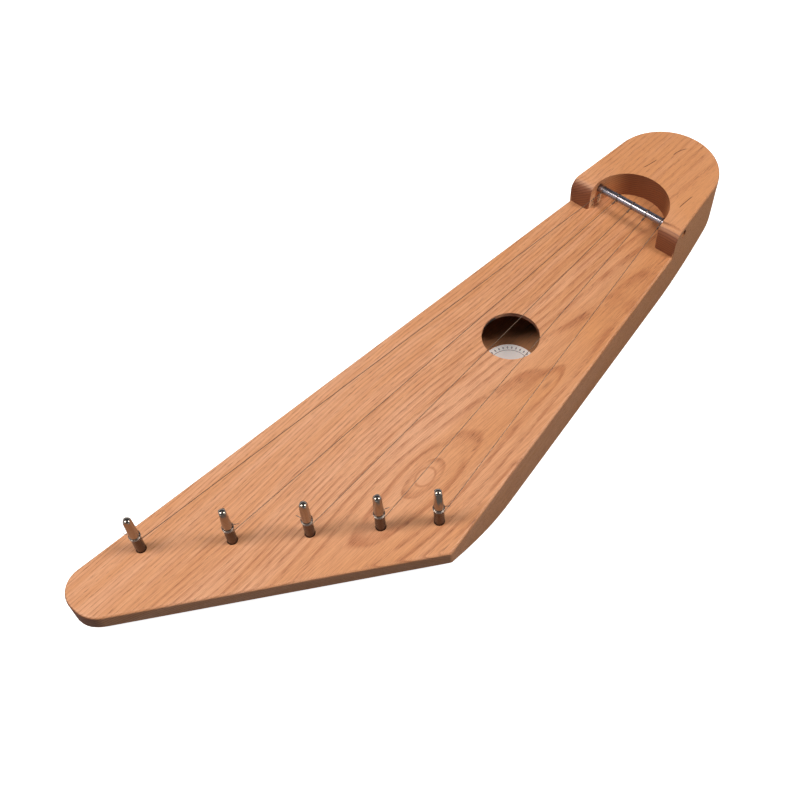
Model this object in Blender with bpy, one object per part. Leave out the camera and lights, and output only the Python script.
"""Five-string lap zither of the Baltic box kind, in metres, +Z up.

The body is one piece of wood, carved hollow from below and closed by a back board let into a
rebate. A steel bar through the head holds the loops of the strings, and each string winds onto
its own tuning pin near the tail.

The plan is drawn around the middle of the sound hole: +X runs along the axis towards the head,
+Y towards the long side. Every object hangs on the empty "zither", which moves that drawing so
that the middle of the body's box is the origin.
"""

import math

import bmesh
import bpy
from mathutils import Matrix, Vector

# Plan of the body: a long shape whose two sides lean in towards the head by the same angle. The
# tail edge slants across them, and its far corner is cut off square and rounded.
HALF_WIDTH = 0.06305
SIDE_ANGLE = math.radians(6.12)
TAIL_ANGLE = math.radians(-38.2)
TAIL_CORNER_X = -0.1620
END_X = -0.3476
HEAD_RADIUS = 0.0423
LONG_CORNER_RADIUS = 0.0180
END_CORNER_RADIUS = 0.0220
SHORT_CORNER_RADIUS = 0.0030

# Heights.
DEPTH = 0.0420
HEAD_RISE = 0.0227
TOP = DEPTH + HEAD_RISE
RIM = 0.0020
TAIL_THICKNESS = 0.0145
TAIL_RAMP = 0.0520
HEAD_CURVE_X = 0.1210
HEAD_CURVE_RADIUS = 0.1800

# Head block: two ears with a rounded front edge on each side of a U-shaped notch.
EAR_X = 0.1364
EAR_ROUND = 0.0110
NOTCH_X = 0.14375
NOTCH_RADIUS = 0.03075
NOTCH_LIP = 0.0030

# Sound box.
HOLE_RADIUS = 0.02125
SOUNDBOARD = 0.0035
WALL = 0.0095
LEDGE = 0.0050
BACK_BOARD = 0.0035
BACK_TAIL = 0.0560
BACK_HEAD_X = 0.1170
LABEL_RADIUS = 0.0210
LABEL_THICKNESS = 0.0003

# String bar.
BAR_X = 0.1490
BAR_Z = DEPTH + 0.0150
BAR_RADIUS = 0.0030
BAR_RECESS = 0.0040
BAR_FAR_END = 0.0380
BAR_END_ROOM = 0.0010

# Tuning pins, standing in a straight slanted line whose gaps shrink towards the short side.
PIN_START = Vector((-0.2904, 0.0772))
PIN_LINE_ANGLE = math.radians(-43.95)
PIN_GAPS = (0.0600, 0.0510, 0.0466, 0.0385)
PIN_TURNS = tuple(math.radians(angle) for angle in (311, 150, 298, 165, 140))
PIN_RADIUS = 0.0035
PIN_FOOT = 0.0006
PIN_BURIED = 0.0180
PIN_HEIGHT = 0.0396
PIN_SHOULDER = 0.0205
PIN_RUNOUT = 0.0010
PIN_NECK_RADIUS = 0.0034
PIN_FLAT_BASE = 0.0030
PIN_FLAT_TIP = 0.0022
PIN_TIP_RADIUS = 0.0027
PIN_DOME = 0.0016
PIN_EYE = 0.0006

# Strings.
WIRE_RADIUS = 0.00025
STRING_PITCH = 0.01335
STRING_SHIFT = -0.0006
STRING_BAR_Z = DEPTH + 0.0140
MIDDLE_STRING = 3
LOOP_REACH = 0.0075
LOOP_START = math.radians(125)
LOOP_SWEEP = math.radians(245)
LOOP_TUCK = 0.0010
COIL_TOP = 0.0190
COIL_PITCH = 0.00085
COIL_TURNS = 2.5
STUB = 0.0030

# Gaps and margins: between neighbours, between a cutter and a face that it only grazes, and from
# a cutter's end to the surface it opens.
GAP = 0.0003
CLEARANCE = 0.00005
MARGIN = 0.0050
SAME_PLACE = 1e-7
LEAST_RADIUS = 0.0004

# Steps of the curves.
HEAD_STEPS = 40
LONG_CORNER_STEPS = 20
END_CORNER_STEPS = 10
SHORT_CORNER_STEPS = 6
RIM_STEPS = 3
LIP_STEPS = 5
EAR_STEPS = 8
SLICES = 10
ROUND_SIDES = 48
HOLE_SIDES = 64
BORE_SIDES = 32
EYE_SIDES = 12
DOME_STEPS = 4
LOOP_STEPS = 20
SHARP_ANGLE = math.radians(30)
COIL_STEPS = 18


def clear_scene():
    for obj in list(bpy.data.objects):
        bpy.data.objects.remove(obj, do_unlink=True)


def material(name, colour, roughness, metallic):
    result = bpy.data.materials.new(name)
    result.use_nodes = True
    shader = result.node_tree.nodes["Principled BSDF"]
    shader.inputs["Base Color"].default_value = (*colour, 1.0)
    shader.inputs["Roughness"].default_value = roughness
    shader.inputs["Metallic"].default_value = metallic
    return result


def add_object(name, bm, finish, parent, smooth=False):
    """An object from a bmesh, in the drawing's own coordinates."""
    bmesh.ops.recalc_face_normals(bm, faces=bm.faces)
    mesh = bpy.data.meshes.new(name)
    bm.to_mesh(mesh)
    bm.free()
    if smooth:
        mesh.shade_smooth()
        mesh.set_sharp_from_angle(angle=SHARP_ANGLE)
    if finish:
        mesh.materials.append(finish)
    obj = bpy.data.objects.new(name, mesh)
    bpy.context.scene.collection.objects.link(obj)
    obj.parent = parent
    return obj


def cut(obj, name, bm, parent):
    """Takes the shape in bm away from obj with a live Boolean."""
    cutter = add_object(name, bm, None, parent)
    cutter.hide_render = True
    cutter.display_type = "WIRE"
    boolean = obj.modifiers.new(name, "BOOLEAN")
    boolean.operation = "DIFFERENCE"
    boolean.solver = "EXACT"
    boolean.object = cutter


# ---------------------------------------------------------------- plan of the body


def direction(angle):
    return Vector((math.cos(angle), math.sin(angle)))


def side_lines():
    """The right side, long side, square end and tail edge, as a point, a direction and its
    inward normal. They run counterclockwise."""
    corner = Vector((TAIL_CORNER_X, -HALF_WIDTH + math.tan(SIDE_ANGLE) * TAIL_CORNER_X))
    lines = []
    for point, angle in (
        (corner, SIDE_ANGLE),
        (Vector((0.0, HALF_WIDTH)), math.pi - SIDE_ANGLE),
        (Vector((END_X, 0.0)), -math.pi / 2),
        (corner, TAIL_ANGLE),
    ):
        along = direction(angle)
        lines.append((point, along, Vector((-along.y, along.x))))
    return lines


def crossing(first, second):
    """Where two lines given as a point and a direction meet."""
    (p, d), (q, e) = first, second
    run = (q - p).cross(e) / d.cross(e)
    return p + d * run


def outline(inset=0.0):
    """The plan outline moved inwards, always with the same number of points."""
    lines = [(point + normal * inset, along) for point, along, normal in side_lines()]
    rounds = (
        (HEAD_RADIUS, HEAD_STEPS),
        (LONG_CORNER_RADIUS, LONG_CORNER_STEPS),
        (END_CORNER_RADIUS, END_CORNER_STEPS),
        (SHORT_CORNER_RADIUS, SHORT_CORNER_STEPS),
    )
    points = []
    for index, (radius, steps) in enumerate(rounds):
        before = lines[index]
        after = lines[(index + 1) % len(lines)]
        radius = max(radius - inset, LEAST_RADIUS)
        start = math.atan2(before[1].y, before[1].x)
        turn = (math.atan2(after[1].y, after[1].x) - start) % math.tau
        tip = crossing(before, after)
        tangent = tip - before[1] * radius * math.tan(turn / 2)
        centre = tangent + Vector((-before[1].y, before[1].x)) * radius
        for step in range(steps + 1):
            angle = start + turn * step / steps
            points.append(centre + direction(angle - math.pi / 2) * radius)
    return points


def from_tail(point):
    """How far a plan point lies in from the tail edge."""
    edge, _, normal = side_lines()[-1]
    return (point - edge).dot(normal)


def underside(point):
    """Height of the underside: a scooped ramp up to the tail edge, and a long curve under the head."""
    height = 0.0
    inward = from_tail(point)
    if inward < TAIL_RAMP:
        share = math.sin(math.pi / 2 * max(inward, 0.0) / TAIL_RAMP)
        height = (DEPTH - TAIL_THICKNESS) * (1.0 - share)
    if point.x > HEAD_CURVE_X:
        run = point.x - HEAD_CURVE_X
        height = HEAD_CURVE_RADIUS - math.sqrt(HEAD_CURVE_RADIUS**2 - run**2)
    return height


# ---------------------------------------------------------------- solids made of rings


def ring(bm, points, height):
    return [bm.verts.new((point.x, point.y, height)) for point in points]


def loft(rings_of_points):
    """A closed solid through rings of equal count, each given as its plan points and height."""
    bm = bmesh.new()
    rings = [ring(bm, points, height) for points, height in rings_of_points]
    bm.faces.new(list(reversed(rings[0])))
    for lower, upper in zip(rings, rings[1:]):
        for index in range(len(lower)):
            following = (index + 1) % len(lower)
            bm.faces.new((lower[index], lower[following], upper[following], upper[index]))
    bm.faces.new(rings[-1])
    return bm


def prism(points, low, high):
    return loft([(points, low), (points, high)])


def disc(x, y, radius, low, high, sides=ROUND_SIDES):
    centre = Vector((x, y))
    points = [centre + direction(math.tau * side / sides) * radius for side in range(sides)]
    return prism(points, low, high)


def trim(bm, point, normal):
    """Cuts the solid at a plane, drops what lies on the normal's side and closes the cut."""
    geometry = bm.verts[:] + bm.edges[:] + bm.faces[:]
    result = bmesh.ops.bisect_plane(
        bm, geom=geometry, dist=SAME_PLACE, plane_co=point, plane_no=normal, clear_outer=True
    )
    edges = [item for item in result["geom_cut"] if isinstance(item, bmesh.types.BMEdge)]
    bmesh.ops.contextual_create(bm, geom=edges)


def score(bm, point, normal):
    """Adds the line where a plane meets the solid, without removing anything."""
    geometry = bm.verts[:] + bm.edges[:] + bm.faces[:]
    bmesh.ops.bisect_plane(bm, geom=geometry, dist=SAME_PLACE, plane_co=point, plane_no=normal)


def tail_plane(inward):
    """A point and the inward normal of the upright plane at this distance from the tail edge."""
    edge, _, normal = side_lines()[-1]
    return (edge + normal * inward).to_3d(), normal.to_3d()


# ---------------------------------------------------------------- body


def blank():
    """The whole block at head height, with its rims rounded and its underside shaped."""
    arc = [math.pi / 2 * step / RIM_STEPS for step in range(RIM_STEPS + 1)]
    rings = [(outline(RIM * (1 - math.sin(a))), RIM * (1 - math.cos(a))) for a in arc]
    rings += [(outline(RIM * (1 - math.cos(a))), TOP - RIM * (1 - math.sin(a))) for a in arc]
    bm = loft(rings)
    for index in range(1, SLICES + 1):
        score(bm, *tail_plane(TAIL_RAMP * index / SLICES))
    reach = max(point.x for point in outline()) - HEAD_CURVE_X
    for index in range(SLICES):
        score(bm, Vector((HEAD_CURVE_X + reach * index / SLICES, 0, 0)), Vector((1, 0, 0)))
    for vert in bm.verts:
        if vert.co.z < RIM + CLEARANCE:
            vert.co.z += underside(vert.co.xy)
    return bm


def soundboard_cutter():
    """All that stands above the soundboard in front of the ears. Its lower edge flares outwards
    and so leaves the soundboard's rim rounded."""
    arc = [math.pi / 2 * step / RIM_STEPS for step in range(RIM_STEPS + 1)]
    flare = [RIM * (1 - math.sin(a)) - CLEARANCE * math.sin(a) for a in arc]
    rings = [(outline(inset), DEPTH - RIM * (1 - math.cos(a))) for inset, a in zip(flare, arc)]
    far = outline(-MARGIN)
    rings += [(far, DEPTH - RIM), (far, TOP + MARGIN)]
    bm = loft(rings)
    trim(bm, Vector((EAR_X, 0, 0)), Vector((1, 0, 0)))
    return bm


def notch_outline():
    """A half circle at the back, straight sides, and a small round where it meets the ears' front."""
    points = []
    steps = ROUND_SIDES // 2
    for step in range(steps + 1):
        angle = -math.pi / 2 + math.pi * step / steps
        points.append(Vector((NOTCH_X, 0)) + direction(angle) * NOTCH_RADIUS)
    lip = []
    for step in range(LIP_STEPS + 1):
        angle = math.pi / 2 * step / LIP_STEPS
        x = EAR_X + NOTCH_LIP * (1 - math.sin(angle)) - CLEARANCE * math.sin(angle)
        y = NOTCH_RADIUS + NOTCH_LIP * (1 - math.cos(angle)) + CLEARANCE * math.sin(angle)
        lip.append(Vector((x, y)))
    outer = Vector((EAR_X - MARGIN, NOTCH_RADIUS + NOTCH_LIP + CLEARANCE))
    points += lip + [outer]
    points += [Vector((point.x, -point.y)) for point in reversed(lip + [outer])]
    return points


def ear_front_cutter():
    """Rounds the upper front edge of both ears."""
    centre_x = EAR_X + EAR_ROUND
    centre_z = TOP - EAR_ROUND
    reach = EAR_ROUND + CLEARANCE
    profile = [(EAR_X - MARGIN, centre_z)]
    for step in range(EAR_STEPS + 1):
        angle = math.pi / 2 * step / EAR_STEPS
        profile.append((centre_x - reach * math.cos(angle), centre_z + reach * math.sin(angle)))
    profile += [(centre_x, TOP + MARGIN), (EAR_X - MARGIN, TOP + MARGIN)]
    bm = bmesh.new()
    front = [bm.verts.new((x, -HALF_WIDTH, z)) for x, z in profile]
    face = bm.faces.new(front)
    extruded = bmesh.ops.extrude_face_region(bm, geom=[face])
    moved = [item for item in extruded["geom"] if isinstance(item, bmesh.types.BMVert)]
    bmesh.ops.translate(bm, verts=moved, vec=(0, 2 * HALF_WIDTH, 0))
    return bm


def chamber_cutter():
    bm = prism(outline(WALL), BACK_BOARD / 2, DEPTH - SOUNDBOARD)
    point, normal = tail_plane(BACK_TAIL + LEDGE)
    trim(bm, point, -normal)
    trim(bm, Vector((BACK_HEAD_X - LEDGE, 0, 0)), Vector((1, 0, 0)))
    return bm


def back_board_shape(margin, low, high):
    bm = prism(outline(WALL - LEDGE + margin), low, high)
    point, normal = tail_plane(BACK_TAIL + margin)
    trim(bm, point, -normal)
    trim(bm, Vector((BACK_HEAD_X - margin, 0, 0)), Vector((1, 0, 0)))
    return bm


def along_y(bm, x, z):
    """Lays a solid made along Z down along Y, through this x and z."""
    turn = Matrix.Rotation(-math.pi / 2, 4, "X")
    place = Matrix.Translation((x, 0, z))
    bmesh.ops.transform(bm, matrix=place @ turn, verts=bm.verts)
    return bm


def make_body(parent, finish):
    body = add_object("body", blank(), finish, parent)
    cut(body, "soundboard_cutter", soundboard_cutter(), parent)
    cut(body, "notch_cutter", prism(notch_outline(), DEPTH, TOP + MARGIN), parent)
    cut(body, "ear_front_cutter", ear_front_cutter(), parent)
    cut(body, "back_rebate_cutter", back_board_shape(0.0, -MARGIN, BACK_BOARD), parent)
    cut(body, "chamber_cutter", chamber_cutter(), parent)
    hole = disc(0, 0, HOLE_RADIUS, DEPTH - SOUNDBOARD - MARGIN, DEPTH + MARGIN, HOLE_SIDES)
    cut(body, "sound_hole_cutter", hole, parent)
    bore = disc(0, 0, BAR_RADIUS + GAP, -HALF_WIDTH, BAR_FAR_END + BAR_END_ROOM, BORE_SIDES)
    cut(body, "bar_bore_cutter", along_y(bore, BAR_X, BAR_Z), parent)
    for index, spot in enumerate(pin_spots(), 1):
        floor = DEPTH - PIN_BURIED - GAP
        bore = disc(spot.x, spot.y, PIN_RADIUS + GAP, floor, DEPTH + MARGIN, BORE_SIDES)
        cut(body, f"pin_bore_cutter_{index}", bore, parent)
    return body


def make_back_board(parent, finish):
    return add_object("back_board", back_board_shape(GAP, 0.0, BACK_BOARD - GAP), finish, parent)


def make_label(parent, finish):
    low = BACK_BOARD
    bm = disc(0, 0, LABEL_RADIUS, low, low + LABEL_THICKNESS)
    return add_object("paper_label", bm, finish, parent, smooth=True)


def make_bar(parent, finish):
    right_wall = HALF_WIDTH - math.tan(SIDE_ANGLE) * BAR_X
    bm = disc(0, 0, BAR_RADIUS, -right_wall + BAR_RECESS, BAR_FAR_END, BORE_SIDES)
    return add_object("string_bar", along_y(bm, BAR_X, BAR_Z), finish, parent, smooth=True)


# ---------------------------------------------------------------- tuning pins


def pin_spots():
    spots = [PIN_START.copy()]
    for gap in PIN_GAPS:
        spots.append(spots[-1] + direction(PIN_LINE_ANGLE) * gap)
    return spots


def rounded_square(half, radius):
    """A square of this half width whose corners are turned down to this radius."""
    points = []
    for side in range(BORE_SIDES):
        ray = direction(math.tau * (side + 0.5) / BORE_SIDES)
        reach = half / max(abs(ray.x), abs(ray.y))
        points.append(ray * min(reach, radius))
    return points


def pin_shape():
    """Round shank, then a tapered square head with turned corners and a domed end. z = 0 is the
    surface of the wood."""
    head = PIN_HEIGHT - PIN_DOME
    shank = rounded_square(PIN_RADIUS, PIN_RADIUS)
    rings = [
        (rounded_square(PIN_RADIUS, PIN_RADIUS - PIN_FOOT), -PIN_BURIED),
        (shank, -PIN_BURIED + PIN_FOOT),
        (shank, PIN_SHOULDER),
        (rounded_square(PIN_FLAT_BASE, PIN_NECK_RADIUS), PIN_SHOULDER + PIN_RUNOUT),
        (rounded_square(PIN_FLAT_TIP, PIN_TIP_RADIUS), head),
    ]
    for step in range(1, DOME_STEPS):
        angle = math.pi / 2 * step / DOME_STEPS
        shrink = math.cos(angle)
        size = rounded_square(PIN_FLAT_TIP * shrink, PIN_TIP_RADIUS * shrink)
        rings.append((size, head + PIN_DOME * math.sin(angle)))
    return loft(rings)


def make_pin(index, spot, parent, finish):
    pin = add_object(f"tuning_pin_{index}", pin_shape(), finish, parent, smooth=True)
    pin.location = (spot.x, spot.y, DEPTH)
    pin.rotation_euler.z = PIN_TURNS[index - 1]
    eye = disc(0, 0, PIN_EYE, -2 * PIN_RADIUS, 2 * PIN_RADIUS, EYE_SIDES)
    bmesh.ops.transform(eye, matrix=Matrix.Rotation(math.pi / 2, 4, "Y"), verts=eye.verts)
    bmesh.ops.translate(eye, verts=eye.verts, vec=(0, 0, COIL_TOP))
    cut(pin, f"eye_cutter_{index}", eye, pin)
    return pin


# ---------------------------------------------------------------- strings


def wire(name, points, finish, parent):
    curve = bpy.data.curves.new(name, "CURVE")
    curve.dimensions = "3D"
    curve.bevel_depth = WIRE_RADIUS
    curve.bevel_resolution = 1
    curve.use_fill_caps = True
    spline = curve.splines.new("POLY")
    spline.points.add(len(points) - 1)
    for item, point in zip(spline.points, points):
        item.co = (*point, 1.0)
    curve.materials.append(finish)
    obj = bpy.data.objects.new(name, curve)
    bpy.context.scene.collection.objects.link(obj)
    obj.parent = parent
    return obj


def coil_radius():
    return PIN_RADIUS + GAP + WIRE_RADIUS


def leaving_point(spot, anchor, reach):
    """Where a string leaves a circle around its pin on the way to the bar, and that point's angle."""
    run = anchor - spot
    lean = math.asin(reach / run.length)
    angle = math.atan2(run.y, run.x) - math.pi / 2 + lean
    return spot + direction(angle) * reach, angle


def string_anchor(index):
    y = STRING_SHIFT + STRING_PITCH * (MIDDLE_STRING - index)
    return Vector((BAR_X, y))


def coil_foot():
    return DEPTH + COIL_TOP - COIL_PITCH * COIL_TURNS


def make_winding(index, spot, parent, finish):
    """The end of the wire: a stub, the straight way through the eye, then turns going down to
    the place where the string leaves. Its points are around the pin, and z = 0 is the wood."""
    _, leave = leaving_point(spot, string_anchor(index), coil_radius())
    through = PIN_TURNS[index - 1]
    first = direction(through)
    reach = coil_radius()
    points = [
        (-first * (PIN_RADIUS + STUB)).to_3d(),
        (-first * PIN_RADIUS).to_3d(),
        (first * PIN_RADIUS).to_3d(),
    ]
    points = [point + Vector((0, 0, COIL_TOP)) for point in points]
    sweep = (leave - through) % math.tau + math.tau * (int(COIL_TURNS) - 1)
    steps = round(sweep / math.tau * COIL_STEPS)
    drop = COIL_PITCH * COIL_TURNS
    for step in range(1, steps + 1):
        share = step / steps
        swing = direction(through + sweep * share) * reach
        points.append(Vector((swing.x, swing.y, COIL_TOP - drop * share)))
    winding = wire(f"string_winding_{index}", points, finish, parent)
    winding.location = (spot.x, spot.y, DEPTH)
    return winding


def make_string(index, spot, parent, finish):
    """The sounding length and the eye loop around the bar. The length starts just outside the
    coil, so that the coil can turn with its pin."""
    anchor = string_anchor(index)
    leave, _ = leaving_point(spot, anchor, coil_radius() + 2 * WIRE_RADIUS + GAP)
    start = Vector((leave.x, leave.y, coil_foot()))
    neck = Vector((BAR_X - LOOP_REACH, anchor.y, STRING_BAR_Z))
    points = [start, neck]
    reach = BAR_RADIUS + GAP + WIRE_RADIUS
    for step in range(LOOP_STEPS + 1):
        angle = LOOP_START - LOOP_SWEEP * step / LOOP_STEPS
        x = BAR_X + reach * math.cos(angle)
        points.append(Vector((x, anchor.y, BAR_Z + reach * math.sin(angle))))
    tail = neck + Vector((LOOP_TUCK, 0, -2 * WIRE_RADIUS - GAP))
    points.append(tail)
    return wire(f"string_{index}", points, finish, parent)


# ---------------------------------------------------------------- the whole instrument


def main():
    clear_scene()
    plan = outline()
    middle_x = (max(point.x for point in plan) + min(point.x for point in plan)) / 2
    middle_y = (max(point.y for point in plan) + min(point.y for point in plan)) / 2
    zither = bpy.data.objects.new("zither", None)
    bpy.context.scene.collection.objects.link(zither)
    zither.location = (-middle_x, -middle_y, 0)

    make_body(zither, material("oiled_alder", (0.60, 0.32, 0.17), 0.50, 0.0))
    make_back_board(zither, material("back_board_alder", (0.55, 0.30, 0.16), 0.55, 0.0))
    make_label(zither, material("label_paper", (0.80, 0.75, 0.68), 0.90, 0.0))
    make_bar(zither, material("polished_steel", (0.62, 0.61, 0.62), 0.20, 1.0))
    for index, spot in enumerate(pin_spots(), 1):
        nickel = material(f"nickel_plate_{index}", (0.55, 0.52, 0.49), 0.22, 1.0)
        steel = material(f"music_wire_{index}", (0.50, 0.49, 0.48), 0.30, 1.0)
        coil = material(f"coiled_wire_{index}", (0.50, 0.49, 0.48), 0.30, 1.0)
        make_pin(index, spot, zither, nickel)
        make_winding(index, spot, zither, coil)
        make_string(index, spot, zither, steel)
    bpy.context.view_layer.update()


main()
